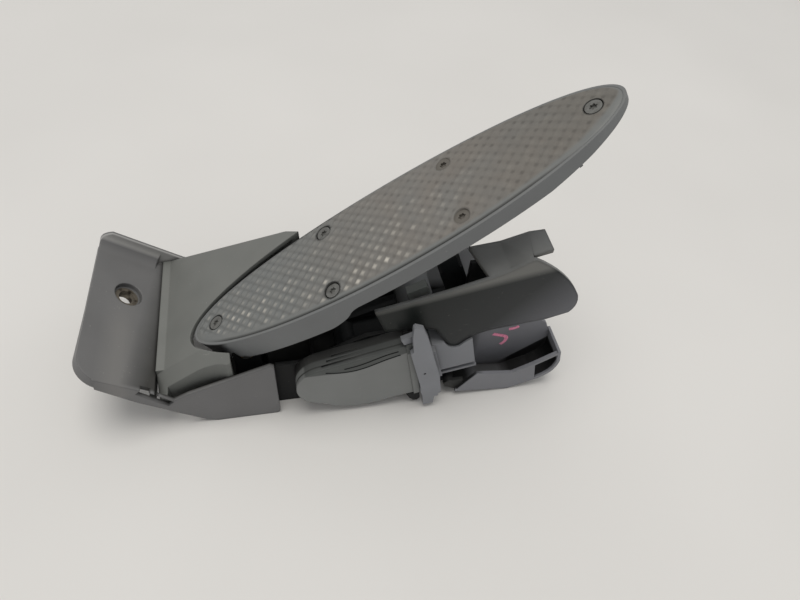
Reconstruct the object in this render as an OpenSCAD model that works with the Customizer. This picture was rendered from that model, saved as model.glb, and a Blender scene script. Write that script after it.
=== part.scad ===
// Floor-hinged accelerator pedal module, in millimetres.
// The pedal turns about the y axis on a hinge above the origin. x runs from the heel
// towards the pedal's tip, y towards the far side, z up from the underside.

/* [Pedal pad] */
// Slope of the pedal face at rest, in degrees
pad_angle = 34.5; // [30:0.5:38]
// Length of the oval pedal face
pad_len = 251.6; // [246:0.5:258]
// Width of the oval pedal face
pad_w = 60.6; // [56:0.2:62]
// Radius of the crown across the face
pad_crown_r = 205; // [150:5:400]
// Thickness of the tread insert
tread_t = 2.5; // [1.8:0.1:3]
// Width of the shell's rim round the tread
rim_w = 1.7; // [1.2:0.1:2.4]
// Gap between the rim and the tread
tread_gap = 0.25; // [0.1:0.05:0.5]
// Wall of the pedal shell
shell_wall = 2.4; // [1.8:0.1:3]
// Depth of the shell's side band along the middle and tip
band_depth = 11.6; // [10:0.2:12.6]
// Depth of the shell's side band by the hinge
band_depth_heel = 18.8; // [17:0.2:19]
// Height of the pedal face above the hinge axis
face_over_hinge = 20; // [19.4:0.1:21]
// Length of face behind the hinge axis
face_behind_hinge = 19.6; // [18:0.2:21]
// Screw head diameter
screw_head_d = 8; // [7:0.1:8.6]
// Screw shank diameter
screw_d = 3.6; // [3:0.1:4]

/* [Hinge and travel] */
// Height of the hinge axis above the underside
hinge_z = 45.8; // [44:0.2:48]
// Hinge pin diameter
hinge_pin_d = 6; // [5:0.1:7]
// Outer diameter of the hinge bushes
hinge_bush_d = 8.4; // [7.6:0.1:9]
// Travel of the pedal, in degrees
pad_travel = 12; // [8:0.5:12]
// Running clearance of pins and shafts, on radius
running = 0.05; // [0.03:0.01:0.08]
// Gap between seated pieces
seat_gap = 0.3; // [0.2:0.05:0.4]
// Gap between the pressed pedal and the heel block
swing_gap = 0.8; // [0.5:0.1:1.2]

/* [Heel plate and block] */
// Wall of the mouldings
wall = 2.4; // [2:0.1:3]
// Gap between the pedal and the block's opening
rim_gap = 3.7; // [2.6:0.1:4.6]
// Height of the block's top over the crowned edge of the face
rim_rise = 1.6; // [0.6:0.1:2.4]
// Slope of the heel flange, in degrees
flange_slope = 37; // [34:0.5:40]
// Height of the flange's free edge
flange_edge_z = 60; // [57:0.5:63]
// Near side of the heel plate
heel_near_y = -26; // [-27:0.2:-25]
// Far side of the heel plate
heel_far_y = 74.5; // [72:0.5:78]
// Bore of the floor bolt sleeve
sleeve_bore = 9; // [8:0.1:10]
// Outer diameter of the floor bolt sleeve
sleeve_d = 13.5; // [12.5:0.1:15]
// Depth that the sleeve sits below the flange's face
sleeve_depth = 3; // [1:0.1:4]
// Radius between the flange and its far side wall
flange_fillet = 8; // [4:0.5:10]

/* [Sensor] */
// Near face of the sensor cover
sensor_near_y = -31; // [-32:0.2:-30]
// Radius of the cover's round left end
sensor_end_r = 17.5; // [16:0.1:18.5]
// Wall of the sensor cover
sensor_wall = 2; // [1.6:0.1:2.4]
// Lever shaft diameter
shaft_d = 8; // [7:0.1:9]

/* [Shield and bracket] */
// Near face of the shield
shield_near_y = -25; // [-25.6:0.1:-24.6]
// Wall of the shield
shield_wall = 2.2; // [1.8:0.1:2.6]
// Near face of the upper bracket
bracket_near_y = -30; // [-31:0.2:-29]
// Far face of the upper bracket's channel
bracket_far_y = -10; // [-10.6:0.2:-9.8]
// Wall of the upper bracket
bracket_wall = 2.2; // [1.8:0.1:2.6]

/* [Hidden] */
$fn = 64;
big = 400;

// Colours of the mouldings and metals
grey_face = "#6e6e6c";
grey_band = "#64666a";
grey_block = "#6c6e6a";
grey_flange = "#5c5b5d";
dark_frame = "#26272a";
dark_shield = "#3a3b3b";
grey_sensor = "#686a69";
grey_collar = "#6b6c70";
steel = "#9a9b9c";
black_rod = "#17191a";
rubber = "#1b1c1d";
board_green = "#2f5d43";
brass = "#b39a5a";

// Pedal face and outline
pad_c = pad_len / 2 - face_behind_hinge;
crown_drop = pad_w * pad_w / (8 * pad_crown_r);
face_edge_n = face_over_hinge - crown_drop;
tread_inset = rim_w + tread_gap;
rim_drop = 0.5;
screw_rows = [[-4, 0], [70.7, 20.4], [144.3, 19], [217.1, 0]];

// Flange line: runs down from its free edge to the block's front lip
flange_edge_x = -83;
flange_t = 3;
flange_rim = 6;
lip_x = -50.2;
lip_w = 4.6;
flange_lip_z = flange_edge_z - (lip_x - flange_edge_x) * tan(flange_slope);
flange_skew = 1.3;
hole_x = -66;
hole_y = 38;
hole_z = flange_edge_z - (hole_x - flange_edge_x) * tan(flange_slope);
sleeve_bottom = sleeve_depth + 6;

// Block
block_n = face_edge_n + rim_rise;
block_far_corner = [28, 37.2];
block_side_y = -19.5;
skirt_right_x = 14.5;

// Base frame
frame_near_y = -18;
frame_far_y = 32;
frame_floor = 3;
frame_front_x = -24;
frame_rear_x = 158;
ear_in = 9;
ear_out = 13.4;
boss_half = ear_in - seat_gap;

bracket_left_x = 121.5;

// Lever and push rod
lever_x = 58;
lever_z = 33;
rod_top_s = 127;
rod_top_n = 4;
rod_top = [rod_top_s * cos(pad_angle) - rod_top_n * sin(pad_angle),
           hinge_z + rod_top_s * sin(pad_angle) + rod_top_n * cos(pad_angle)];
rod_foot = [127, 56];
rod_pin_d = 5;
rod_w = 12;
foot_play = 0.9;
lever_near_y = -7;
lever_far_y = 21;
spring_x = 94;
spring_y = 4;
spring_floor_z = frame_floor + 3;
spring_top_z = 40.6;

// Sensor oval, seen from the near side
sensor_back_y = frame_near_y - seat_gap;
sensor_l = [25.2 + sensor_end_r, 29.5];
sensor_r = [90, 36.5];
sensor_r_half = 23.6;
flange_rise = 1.2;
tilt = 9.5;

// Point on the pedal's outline at angle a, grown by g
function oval(a, g) = [pad_c + (pad_len / 2 + g) * cos(a), (pad_w / 2 + g) * sin(a)];
function oval_points(g, n) = [for (i = [0 : n - 1]) oval(360 * i / n, g)];
function arc(c, r, a0, a1, n) = [for (i = [0 : n]) c + r * [cos(a0 + (a1 - a0) * i / n), sin(a0 + (a1 - a0) * i / n)]];
function curve(p, q, r, n) = [for (i = [0 : n]) let (t = i / n) (1 - t) * (1 - t) * p + 2 * t * (1 - t) * q + t * t * r];

// Pedal frame: x along the face, z out of it, origin on the hinge axis
module on_pedal() {
    translate([0, 0, hinge_z]) rotate([0, -pad_angle, 0]) children();
}

// Turns what rides on the pedal to the end of its travel
module pressed() {
    translate([0, 0, hinge_z]) rotate([0, pad_travel, 0]) translate([0, 0, -hinge_z]) children();
}

// Extrudes an outline drawn in x and z from y0 to y1
module across(y0, y1) {
    translate([0, y1, 0]) rotate([90, 0, 0]) linear_extrude(y1 - y0) children();
}

// Round bar along y
module rod_y(x, z, d, y0, y1) {
    translate([x, y0, z]) rotate([-90, 0, 0]) cylinder(d = d, h = y1 - y0);
}

// Solid inside the crowned face at depth t below it
module under_crown(t) {
    translate([-big / 2, 0, face_over_hinge - pad_crown_r]) rotate([0, 90, 0])
        cylinder(r = pad_crown_r - t, h = 2 * big, $fn = 360);
}

// Side band of the shell, drawn in x and z of the pedal frame
module band_outline(lift) {
    heel_n = face_over_hinge - band_depth_heel + lift;
    mid_n = face_over_hinge - band_depth + lift;
    x0 = -face_behind_hinge - 5;
    x1 = pad_len;
    polygon(concat(
        [[x0, heel_n + 7], [-12, heel_n + 1], [0, heel_n], [56, heel_n]],
        curve([58, heel_n], [67, heel_n + 1.4], [71, heel_n + 4.2], 5),
        curve([71, heel_n + 4.2], [74, mid_n], [80, mid_n], 5),
        [[185, mid_n + 0.6], [207, mid_n + 3.1], [223, mid_n + 5.8], [x1, mid_n + 11]],
        [[x1, 40], [x0, 40]]
    ));
}

module screw_places() {
    for (row = screw_rows, side = row[1] > 0 ? [-1, 1] : [0])
        translate([row[0], row[1] * side, 0]) children();
}

// Height of the flat spot under a screw head at distance y from the middle
function screw_seat_n(y) = face_over_hinge - pow(y + screw_head_d / 2, 2) / (2 * pad_crown_r) - tread_t;

module pedal_shell() {
    color(grey_band) on_pedal() difference() {
        union() {
            intersection() {
                translate([0, 0, -10]) linear_extrude(50) polygon(oval_points(0, 120));
                across(-big / 2, big / 2) band_outline(0);
                under_crown(rim_drop);
                shell_hollow_cut();
            }
            shell_ribs();
            rod_y(0, 0, 11, -boss_half, boss_half);
            hinge_web();
            screw_bosses();
            rod_ears();
        }
        tread_pocket();
        rod_y(0, 0, hinge_pin_d + 2 * running, -40, 40);
        rod_y(rod_top_s, rod_top_n, rod_pin_d + 2 * running, -40, 40);
        screw_places() translate([0, 0, 2]) cylinder(d = screw_d, h = 40);
        for (row = screw_rows, side = row[1] > 0 ? [-1, 1] : [0])
            translate([row[0], row[1] * side, screw_seat_n(row[1])]) cylinder(d = screw_head_d + 1, h = 9);
        for (side = [-1, 1]) rod_y(0, 0, 16.4, side * 12 - 3.3, side * 12 + 3.3);
    }
}

// Recess in the shell's face that the tread lies in
module tread_pocket() {
    difference() {
        linear_extrude(60) polygon(oval_points(-rim_w, 120));
        under_crown(tread_t);
    }
}

// Everything but the hollow under the shell's plate
module shell_hollow_cut() {
    plate_n = face_edge_n - tread_t - shell_wall;
    difference() {
        translate([-big / 2, -big / 2, -20]) cube([2 * big, big, 80]);
        translate([0, 0, -20]) linear_extrude(20 + plate_n) polygon(oval_points(-shell_wall, 120));
    }
}

// Ribs across the shell's underside, clear of the lever housing when pressed
module shell_ribs() {
    plate_n = face_edge_n - tread_t - shell_wall;
    intersection() {
        linear_extrude(plate_n + 1) polygon(oval_points(-shell_wall / 2, 120));
        union() {
            for (x = [172, 186, 200]) translate([x, -40, plate_n - 4]) cube([1.6, 80, 5]);
            for (x = [28, 52]) translate([x, -40, plate_n - 3]) cube([1.6, 80, 4]);
            translate([-14, -0.8, plate_n - 3]) cube([226, 1.6, 4]);
        }
    }
}

// Web that joins the hinge boss to the plate
module hinge_web() {
    plate_n = face_edge_n - tread_t - shell_wall;
    for (y = [-boss_half, boss_half - 2.4])
        translate([-5, y, 0]) cube([10, 2.4, plate_n + 0.6]);
    translate([-1.2, -boss_half, 0]) cube([2.4, 2 * boss_half, plate_n + 0.6]);
}

module screw_bosses() {
    plate_n = face_edge_n - tread_t - shell_wall;
    screw_places() translate([0, 0, plate_n - 3.5]) cylinder(d = screw_d + 4, h = 4.4);
}

// Two ears that hold the push rod's pin
module rod_ears() {
    plate_n = face_edge_n - tread_t - shell_wall;
    ear = rod_w / 2 + seat_gap;
    for (y = [-ear - 3, ear]) across(y, y + 3) polygon(concat(
        arc([rod_top_s, rod_top_n], 5, 180, 360, 16),
        [[rod_top_s + 9, plate_n + 0.6], [rod_top_s - 9, plate_n + 0.6]]
    ));
}

module tread_pad() {
    color(grey_face) on_pedal() difference() {
        intersection() {
            linear_extrude(40) polygon(oval_points(-tread_inset, 120));
            under_crown(0);
        }
        under_crown(tread_t);
        screw_places() cylinder(d = screw_head_d + 1, h = 60);
    }
}

// Cap screws with a six-lobed socket, heads flush with the tread
module pad_screws() {
    color(steel) on_pedal() for (row = screw_rows, side = row[1] > 0 ? [-1, 1] : [0])
        translate([row[0], row[1] * side, 0]) pad_screw(screw_seat_n(row[1]));
}

module pad_screw(seat) {
    head_top = seat + tread_t - 0.4;
    difference() {
        union() {
            translate([0, 0, seat]) cylinder(d = screw_head_d, h = head_top - seat);
            translate([0, 0, 8]) cylinder(d = screw_d - 0.06, h = seat - 7.9);
        }
        translate([0, 0, head_top - 1.3]) linear_extrude(3) socket_star();
    }
}

// Six-lobed socket, half the width of the head
module socket_star() {
    circle(d = 0.36 * screw_head_d, $fn = 24);
    for (a = [0 : 60 : 300]) rotate(a) translate([0.18 * screw_head_d, 0]) circle(d = 0.12 * screw_head_d, $fn = 16);
}

module hinge_pin() {
    color(steel) rod_y(0, hinge_z, hinge_pin_d, -ear_out - 1, ear_out + 1);
}

module hinge_bushes() {
    color(brass) for (y = [-ear_out, ear_in]) difference() {
        rod_y(0, hinge_z, hinge_bush_d, y, y + ear_out - ear_in);
        rod_y(0, hinge_z, hinge_pin_d + 2 * running, y - 1, y + 9);
    }
}

// Plan of the heel block: near side, lip, far side, then the open side under the pedal
block_near_y = heel_near_y + wall + seat_gap;
block_far_y = heel_far_y - wall - seat_gap;

module block_plan() {
    polygon(concat(
        [[lip_x, block_near_y], [lip_x, block_far_y], [-46, block_far_y], block_far_corner,
         [40, 27], [40, 20], [-6, 20], [-6, block_near_y]],
        curve([-10, block_near_y], [-16, block_side_y - 0.6], [-26, block_side_y], 5),
        [[lip_x + lip_w + 1, block_side_y], [lip_x + lip_w, block_near_y]]
    ));
}

// The hollow inside the block's outer walls
module block_hollow_plan() {
    polygon([
        [lip_x + wall, block_side_y + wall], [lip_x + wall, block_far_y - wall],
        [-46.4, block_far_y - wall], block_far_corner + [-1, -wall], [38, 25.6], [60, 20],
        [60, -60], [-8, -60], [-8, block_side_y - 1], [-24, block_side_y + wall]
    ]);
}

// Space below the block's sloping top, at depth t
module below_block_top(t) {
    on_pedal() translate([-big / 2, -big / 2, -big + block_n - t]) cube([2 * big, big, big]);
    translate([-big + lip_x + lip_w, -big / 2, -big / 2]) cube([big, big, big / 2 + lip_top_z() - t]);
}

function lip_top_z() = hinge_z + block_n / cos(pad_angle) + (lip_x + lip_w) * tan(pad_angle);

// Bevel that falls from the block's top towards its near side
module below_bevel(t) {
    on_pedal() translate([-big / 2, -12.5, block_n - t]) rotate([40, 0, 0])
        translate([0, -60, -big]) cube([big, 60, big]);
    translate([-big, -12.5, -big / 2]) cube([2 * big, big, big]);
}

module heel_block() {
    color(grey_block) difference() {
        intersection() {
            translate([0, 0, 8]) linear_extrude(120) block_plan();
            below_block_top(0);
            below_bevel(0);
        }
        intersection() {
            translate([0, 0, -1]) linear_extrude(130) block_hollow_plan();
            below_block_top(wall);
            below_bevel(wall);
        }
        on_pedal() translate([0, 0, -6]) linear_extrude(60) polygon(oval_points(rim_gap, 96));
        pressed() on_pedal() translate([0, 0, -6]) linear_extrude(60) polygon(oval_points(swing_gap, 96));
        translate([-7.9, -40, -1]) cube([60, 58, 61]);
        across(-60, frame_far_y + seat_gap) translate([0, seat_gap]) far_wall_outline();
        across(-40, block_near_y) translate([0, seat_gap]) skirt_outline();
        across(-60, 100) polygon([[-100, -10], [-100, 63.5], [-28.2, 4.4], [-28.2, -10]]);
    }
}

// Outline of the heel plate's side walls, in x and z
module skirt_outline() {
    polygon([
        [flange_edge_x + 6, flange_edge_z - 4.5], [lip_x - 1, flange_lip_z],
        [lip_x + 8, flange_lip_z - 9], [-34, 31], [12.5, 49.1],
        [skirt_right_x, 47.6], [skirt_right_x, 2], [12.5, 0], [-22, 0], [-28.2, 2.4],
        [-61, 29.4], [-78, 46.8]
    ]);
}

module far_skirt_outline() {
    polygon(concat(
        [[flange_edge_x, 57]],
        curve([flange_edge_x + 0.8, 59.6], [-80.2, 64.4], [-73.6, 64.2], 5),
        [[-38, 38], [-30, 34], [-14, 30], [-14, 2], [-16, 0], [-22, 0], [-28.2, 2.4], [-61, 29.4], [-78, 46.8]]
    ));
}

module heel_plate() {
    run = (lip_x - seat_gap - flange_edge_x) / cos(flange_slope);
    color(grey_flange) difference() {
        union() {
            translate([flange_edge_x, 0, flange_edge_z]) rotate([0, flange_slope, 0])
                flange_body(run);
            across(heel_near_y, heel_near_y + wall) skirt_outline();
            across(heel_far_y - wall, heel_far_y) far_skirt_outline();
            intersection() {
                far_fillet(run);
                across(heel_far_y - wall - flange_fillet, heel_far_y) far_skirt_outline();
            }
            translate([lip_x - 4, heel_near_y + wall / 2, flange_lip_z - 8])
                cube([3, heel_far_y - heel_near_y - wall, 6]);
            on_hole() translate([0, 0, -sleeve_bottom]) cylinder(d = sleeve_d + 6.5, h = sleeve_bottom - 1);
        }
        on_hole() translate([0, 0, -20]) cylinder(d = sleeve_d, h = 40);
        on_hole() translate([0, 0, -sleeve_depth]) cylinder(d = sleeve_d + 2.6, h = 20);
        t_slot();
    }
}

// Flange with a rim under its free edge that deepens towards the near corner
module flange_body(run) {
    translate([0, 0, -flange_t]) linear_extrude(flange_t) flange_plan(run, 0);
    intersection() {
        translate([0, 0, -flange_rim]) linear_extrude(flange_rim) difference() {
            flange_plan(run, 0);
            flange_plan(run + 2 * wall, wall);
        }
        translate([-10, 0, 0]) rotate([90, 0, 90]) linear_extrude(run + 10) polygon([
            [heel_near_y - 1, -1], [heel_near_y - 1, -flange_rim], [heel_near_y + 8, -flange_rim],
            [20, -flange_t], [heel_far_y + 1, -flange_t], [heel_far_y + 1, -1]
        ]);
    }
}

// Flange outline with round corners, drawn g inside its edge, x down the slope
module flange_plan(run, g) {
    r = 14;
    far_r = 6;
    polygon(concat(
        arc([r - flange_skew, heel_near_y + r], r - g, 180, 270, 12),
        [[run - g, heel_near_y + g]], [[run - g, heel_far_y - g]],
        arc([far_r + flange_skew, heel_far_y - far_r], far_r - g, 90, 180, 8)
    ));
}

// Fillet along the foot of the far side wall
module far_fillet(run) {
    translate([flange_edge_x, heel_far_y - wall, flange_edge_z]) rotate([0, flange_slope, 0])
        rotate([90, 0, 90]) linear_extrude(run - 5) difference() {
            translate([-flange_fillet, -0.5]) square([flange_fillet + 0.5, flange_fillet + 0.5]);
            translate([-flange_fillet, flange_fillet]) circle(flange_fillet);
        }
}

// Places a shape on the bolt hole, z out of the flange
module on_hole() {
    translate([hole_x, hole_y, hole_z]) rotate([0, flange_slope, 0]) children();
}

// T-shaped slot in the near skirt where the block's tongue locks
module t_slot() {
    translate([lip_x - 0.8, heel_near_y - 1, flange_lip_z - 3.8]) rotate([0, 48, 0])
        translate([-10.5, 0, -2.5]) cube([21, wall + 2, 5]);
}

module floor_sleeve() {
    color(steel) on_hole() difference() {
        translate([0, 0, -sleeve_bottom]) cylinder(d = sleeve_d - 0.06, h = sleeve_bottom - sleeve_depth);
        translate([0, 0, -sleeve_bottom - 1]) cylinder(d = sleeve_bore, h = 12);
    }
}

// Near wall of the base frame: low by the heel, then along the sensor's back
module near_wall_outline() {
    polygon([
        [frame_front_x, 0], [-6.5, 0], [118, 0], [118, 18], [101, 15], [100, 23], [89.6, 59], [66, 56], [40, 43],
        [34.8, 37.6], [15, 37.6], [8, 30], [frame_front_x, 12]
    ]);
}

module far_wall_outline() {
    polygon([
        [frame_front_x, 0], [frame_rear_x, 0], [frame_rear_x, 50], [122, 84], [104, 84], [84, 76], [60, 61],
        [12, 40], [frame_front_x, 12]
    ]);
}

module ear_outline() {
    polygon(concat(
        [[-9, frame_floor - 0.4], [9, frame_floor - 0.4]],
        arc([0, hinge_z], 6.8, 0, 180, 24)
    ));
}

module base_frame() {
    color(dark_frame) difference() {
        union() {
            frame_tray();
            across(frame_near_y, frame_near_y + wall) near_wall_outline();
            across(frame_far_y - wall, frame_far_y) far_wall_outline();
            for (y = [-ear_out, ear_in]) across(y, y + ear_out - ear_in) ear_outline();
            rod_y(lever_x, lever_z, shaft_d + 8, frame_near_y, lever_near_y - 3);
            rod_y(lever_x, lever_z, shaft_d + 8, lever_far_y + 3, frame_far_y);
            upper_lugs();
            neck_hook();
            across(-14, frame_far_y - 1) polygon([[84, 76], [102, 84], [102, 80], [84, 72]]);
            across(-14, -11.6) polygon([[80, 53.4], [108, 53.4], [108, 60], [102, 83], [84, 75]]);
        }
        rod_y(0, hinge_z, hinge_bush_d + 0.02, -40, 40);
        rod_y(lever_x, lever_z, shaft_d + 3.6, -40, 60);
        for (p = lug_places) translate([p[0], p[1], -1]) cylinder(d = 11, h = 30);
    }
}

// Hook that reaches under the sensor's neck
module neck_hook() {
    across(sensor_near_y, frame_near_y + 1) polygon([
        [90, 10.8], [98.2, 11.6], [99, 4.6], [97.4, 2.4], [95, 2.8], [92.6, 5.4]
    ]);
}

lug_places = [[32, 44], [146, 42]];

module frame_tray() {
    tray_turn = bracket_left_x - seat_gap;
    translate([frame_front_x, frame_near_y, 0])
        cube([tray_turn - frame_front_x, frame_far_y - frame_near_y, frame_floor]);
    translate([tray_turn - 1, bracket_far_y + seat_gap, 0])
        cube([frame_rear_x - tray_turn + 1, frame_far_y - bracket_far_y - seat_gap, frame_floor]);
    translate([-18, heel_near_y + wall + seat_gap, 0]) cube([28, 8, 14]);
    translate([frame_front_x, frame_near_y, 0]) cube([wall, frame_far_y - frame_near_y, 12]);
    for (x = [36, 112]) translate([x, frame_near_y + 1, 0])
        cube([2, frame_far_y - frame_near_y - 2, 16]);
}

module upper_lugs() {
    for (p = lug_places) {
        translate([p[0], p[1], 0]) cylinder(d = 19, h = 8);
        translate([p[0] - 9.5, frame_far_y - 1, 0]) cube([19, p[1] - frame_far_y + 1, 8]);
    }
}

module upper_sleeves() {
    color(steel) for (p = lug_places) translate([p[0], p[1], 0]) difference() {
        cylinder(d = 11 - 0.06, h = 8);
        translate([0, 0, -1]) cylinder(d = 7, h = 10);
    }
}

// Channel of the upper bracket: floor, ramp and round end, in x and z
function channel_points(g) = concat(
    [[bracket_left_x, 5 + g], [156.5, 0.5 + g]],
    [[173.5 - 0.4 * g, 7 + g]],
    curve([178 - 0.6 * g, 9.6 + g], [185.6 - g, 14 + g], [186 - g, 25], 8)
);

module channel_band() {
    polygon(concat(
        channel_points(0), [[184, 35], [184 - 0.8 * bracket_wall, 35]],
        [for (i = [len(channel_points(0)) - 1 : -1 : 0]) channel_points(bracket_wall)[i]]
    ));
}

module upper_bracket() {
    color(dark_frame) {
        across(bracket_near_y, bracket_far_y) channel_band();
        across(bracket_near_y, bracket_near_y + bracket_wall) {
            polygon([
                [bracket_left_x, 5], [156.5, 0.5], [173.5, 7], [172.8, 10.5], [169.8, 25.4],
                [156.5, 18], [133.3, 21.8]
            ]);
            polygon([[168.4, 24.6], [183.6, 34.8], [183.9, 32.6], [169.6, 23]]);
        }
        across(bracket_far_y - bracket_wall, bracket_far_y) polygon(concat(
            channel_points(0),
            [[179, 42], [176, 44], [170, 62], [156, 104], [152.5, 110.8], [148, 107.4], [138, 104.4],
             [bracket_left_x, 102.1]]
        ));
        rod_y(117.6, 12, 7, bracket_near_y + 1.6, frame_near_y - seat_gap);
        across(bracket_near_y + 1.6, bracket_near_y + 4) polygon([[116, 9], [126, 3], [126, 15], [117, 15]]);
    }
}

// Shield: near wall with a round nose, and the upper facet
function shield_wall_points() = concat(
    [[69, 85.2], [105.6, 95.2], [128.8, 103.1]],
    curve([128.8, 103.1], [140, 107.5], [148.7, 114], 5),
    curve([151, 114], [172, 101.5], [182, 83], 8),
    curve([182.6, 81.6], [185.6, 73], [181, 67.6], 5),
    [[168.6, 63.4], [138.9, 59.3]],
    curve([138.9, 59.3], [126, 57], [120, 49], 5),
    curve([119, 48], [115, 46], [111.5, 51], 4),
    curve([104, 64], [101, 67.4], [94, 66.9], 4),
    [[75.2, 67.9]]
);

// Small upright post under a point of the facet
module post(x, y, z) {
    translate([x, y, z - shield_wall]) cylinder(d = 0.8, h = shield_wall, $fn = 8);
}

module cover_shield() {
    y0 = shield_near_y;
    color(dark_shield) {
        across(y0, y0 + shield_wall) polygon(shield_wall_points());
        hull() {
            post(121.7, -5, 107);
            post(138.2, -5, 109.4);
            post(128.8, y0 + 1.1, 102.8);
            post(140, y0 + 1.1, 107.2);
        }
        hull() {
            post(138.2, -5, 109.4);
            post(152.9, -5, 114.6);
            post(140, y0 + 1.1, 107.2);
            post(149.2, y0 + 1.1, 113.6);
        }
        hull() {
            post(152.9, -5, 114.6);
            post(161.4, -4.6, 114.8);
            post(161.6, -18.6, 114.2);
            post(150.6, -21, 114);
        }
    }
}

module push_rod() {
    d = rod_foot - rod_top;
    length = norm(d);
    lean = atan2(d[0], -d[1]);
    color(black_rod) translate([rod_top[0], 0, rod_top[1]]) rotate([0, -lean, 0]) difference() {
        union() {
            rod_y(0, 0, 11, -rod_w / 2, rod_w / 2);
            rod_y(0, -length, 12, -rod_w / 2, rod_w / 2);
            translate([-5, -rod_w / 2, -length]) cube([10, rod_w, length]);
            translate([-6.6, -rod_w / 2, -length + 16]) cube([13.2, rod_w, 22]);
        }
        rod_y(0, 0, rod_pin_d + 2 * running, -20, 20);
        rod_y(0, -length, rod_pin_d + 2 * foot_play, -20, 20);
    }
}

module rod_pin() {
    ear = rod_w / 2 + seat_gap + 3;
    color(steel) on_pedal() rod_y(rod_top_s, rod_top_n, rod_pin_d, -ear, ear);
}

// Forked lever that the push rod turns against the springs
module lever() {
    fork = rod_w / 2 + 0.5;
    color(black_rod) difference() {
        union() {
            rod_y(lever_x, lever_z, shaft_d + 8, lever_near_y - 2, lever_far_y + 2);
            for (y = [-fork - 3, fork]) across(y, y + 3) lever_arm();
            across(-fork - 3, lever_far_y - 3) polygon([
                [lever_x, lever_z - 5], [80, spring_top_z + seat_gap], [108, spring_top_z + seat_gap],
                [108, spring_top_z + 4], [90, 48], [lever_x, lever_z + 6]
            ]);
            rod_y(rod_foot[0], rod_foot[1], rod_pin_d, -fork - 3, fork + 3);
        }
        rod_y(lever_x, lever_z, shaft_d + 0.02, -60, 60);
    }
}

module lever_arm() {
    polygon(concat(
        [[lever_x + 4, lever_z - 6.6], [77, spring_top_z + seat_gap], [94, spring_top_z + seat_gap]],
        arc(rod_foot, 5.4, -62, 112, 16),
        [[90, 54], [lever_x - 2, lever_z + 7.6]]
    ));
}

module lever_shaft() {
    color(steel) rod_y(lever_x, lever_z, shaft_d, frame_near_y - 1.2, frame_far_y - 0.4);
}

module lever_bushes() {
    color(brass) for (y = [frame_near_y, lever_far_y + 3 + seat_gap]) difference() {
        rod_y(lever_x, lever_z, shaft_d + 3.58, y, y + 7);
        rod_y(lever_x, lever_z, shaft_d + 2 * running, y - 1, y + 8);
    }
}

// Coil spring as a tube of stacked rings with a helix look, axis upright
module spring(d, wire, z0, z1, turns) {
    pitch = (z1 - z0 - wire) / turns;
    sides = 24;
    steps = turns * sides;
    function ring(i) = let (a = 360 * i / sides, z = z0 + wire / 2 + pitch * i / sides)
        [for (k = [0 : 5]) let (b = 60 * k, r = d / 2 + wire / 2 * cos(b))
            [r * cos(a), r * sin(a), z + wire / 2 * sin(b)]];
    points = [for (i = [0 : steps]) each ring(i)];
    faces = concat(
        [[for (k = [0 : 5]) k]],
        [for (i = [0 : steps - 1], k = [0 : 5]) let (n = (k + 1) % 6)
            [i * 6 + k, i * 6 + 6 + k, i * 6 + 6 + n, i * 6 + n]],
        [[for (k = [5 : -1 : 0]) steps * 6 + k]]
    );
    translate([spring_x, spring_y, 0]) polyhedron(points, faces, convexity = 10);
}

module outer_spring() {
    color(steel) spring(22, 2.2, spring_floor_z, spring_top_z, 6);
}

module inner_spring() {
    color(steel) spring(13, 1.6, spring_floor_z, spring_top_z, 8);
}

module spring_seat() {
    color(rubber) translate([spring_x, spring_y, frame_floor]) difference() {
        union() {
            cylinder(d = 28, h = 2.7);
            cylinder(d = 9, h = 8);
        }
        translate([0, 0, -1]) cylinder(d = 4, h = 12);
    }
}

module magnet_rotor() {
    color(steel) rod_y(lever_x, lever_z, 12, frame_near_y - 4.4, frame_near_y - 1.2);
}

// Oval of the sensor, grown by g, in x and z
function sensor_points(g) = concat(
    arc(sensor_l, sensor_end_r + g, 262, 104, 24),
    [sensor_r + [-4, sensor_r_half + g], sensor_r + [g, sensor_r_half - 1 + g],
     sensor_r + [7.4 + g, -sensor_r_half - g]],
    curve([84, 10 - g], [55, -1.5 - g], sensor_l + (sensor_end_r + g) * [cos(262), sin(262)], 7)
);

module sensor_cover() {
    color(grey_sensor) difference() {
        union() {
            across(sensor_near_y, sensor_back_y) polygon(sensor_points(0));
            across(sensor_near_y - flange_rise, sensor_back_y) polygon([
                [86, 62], [90.5, 62.8], [98.5, 13], [94.5, 12.2]
            ]);
        }
        across(sensor_near_y + sensor_wall, sensor_back_y + 1) polygon(sensor_points(-sensor_wall));
        top_grooves();
    }
}

// Three long grooves along the cover's sloping top
module top_grooves() {
    slope = 18.6;
    for (i = [0 : 2]) translate([40 + 3 * i, sensor_near_y + 2 + 2.6 * i, 46.6 + i])
        rotate([0, -slope, 0]) translate([0, 0, -0.9]) cube([44, 1.1, 8]);
}

module circuit_board() {
    color(board_green) across(sensor_near_y + sensor_wall + seat_gap, sensor_near_y + sensor_wall + seat_gap + 1.6) polygon([
        [33, 24], [86, 24], [86, 52], [50, 42], [33, 36]
    ]);
}

module neck_seal() {
    color(rubber) difference() {
        across(sensor_near_y + 0.4, sensor_back_y - 0.3) polygon(neck_slab(0));
        across(sensor_near_y + 3, sensor_back_y - 2.6) polygon(neck_slab(2.6));
    }
}

// Slab of the neck between the cover's flange and the plug inlet, cut back by g
function neck_slab(g) = [[91.4, 60 - g], [94, 60.2 - g], [102, 14.8 + g], [99.3, 14.4 + g]];

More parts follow.
